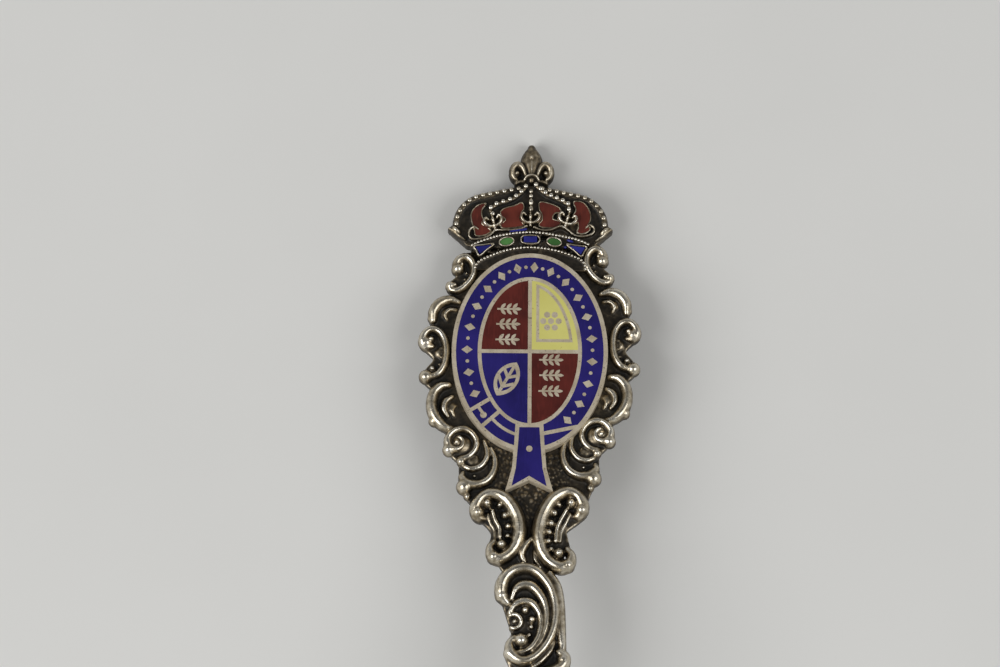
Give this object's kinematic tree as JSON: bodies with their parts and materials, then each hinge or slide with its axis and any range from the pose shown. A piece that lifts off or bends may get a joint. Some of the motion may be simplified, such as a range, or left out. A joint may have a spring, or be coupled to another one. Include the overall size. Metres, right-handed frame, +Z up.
{
  "type": "souvenir spoon",
  "caption": "Silver souvenir teaspoon with a scrolled handle, a crowned champlevé enamel medallion and an oval bowl.",
  "frame": {"origin": "on the table, midway between the bowl's tip and the finial's tip, with the spoon lying face up", "axes": "+Y along the spoon to the finial, +X to the right as seen from the bowl, +Z up out of the face"},
  "size_m": [0.027, 0.1328, 0.0092],
  "materials": {
    "silver": "antiqued sterling silver, dark in the recesses, worn bright on the ridges",
    "silver_bowl": "polished sterling silver with fine wear",
    "enamel_blue": "deep blue fired glass enamel, polished flush with the metal",
    "enamel_red": "translucent red fired glass enamel, polished flush",
    "enamel_yellow": "pale yellow opaque fired glass enamel",
    "enamel_crown_red": "translucent red fired glass enamel in the crown's openings",
    "enamel_jewel_blue": "bright blue fired glass enamel",
    "enamel_jewel_green": "bright green fired glass enamel"
  },
  "bodies": {
    "root": {"bowl": "silver_bowl", "bowl_heel": "silver", "stem": "silver", "scroll_frame": "silver", "medallion": "silver", "crown": "silver", "crown_pearls": "silver", "crown_fleurons": "silver", "circlet": "silver", "beading_upper": "silver", "beading_lower": "silver", "finial_fleur": "silver", "strap_enamel_main": "enamel_blue", "strap_enamel_buckle": "enamel_blue", "strap_enamel_inner": "enamel_blue", "strap_enamel_outer": "enamel_blue", "strap_enamel_overlap": "enamel_blue", "strap_enamel_tail": "enamel_blue", "quarter_enamel_blue": "enamel_blue", "quarter_enamel_red_upper": "enamel_red", "quarter_enamel_red_lower": "enamel_red", "quarter_enamel_yellow_border": "enamel_yellow", "quarter_enamel_yellow_field": "enamel_yellow", "crown_enamel_left_outer": "enamel_crown_red", "crown_enamel_left_inner": "enamel_crown_red", "crown_enamel_right_outer": "enamel_crown_red", "crown_enamel_right_inner": "enamel_crown_red", "circlet_jewel_middle": "enamel_jewel_blue", "circlet_jewels_end": "enamel_jewel_blue", "circlet_jewels_green": "enamel_jewel_green"}
  },
  "joints": []
}
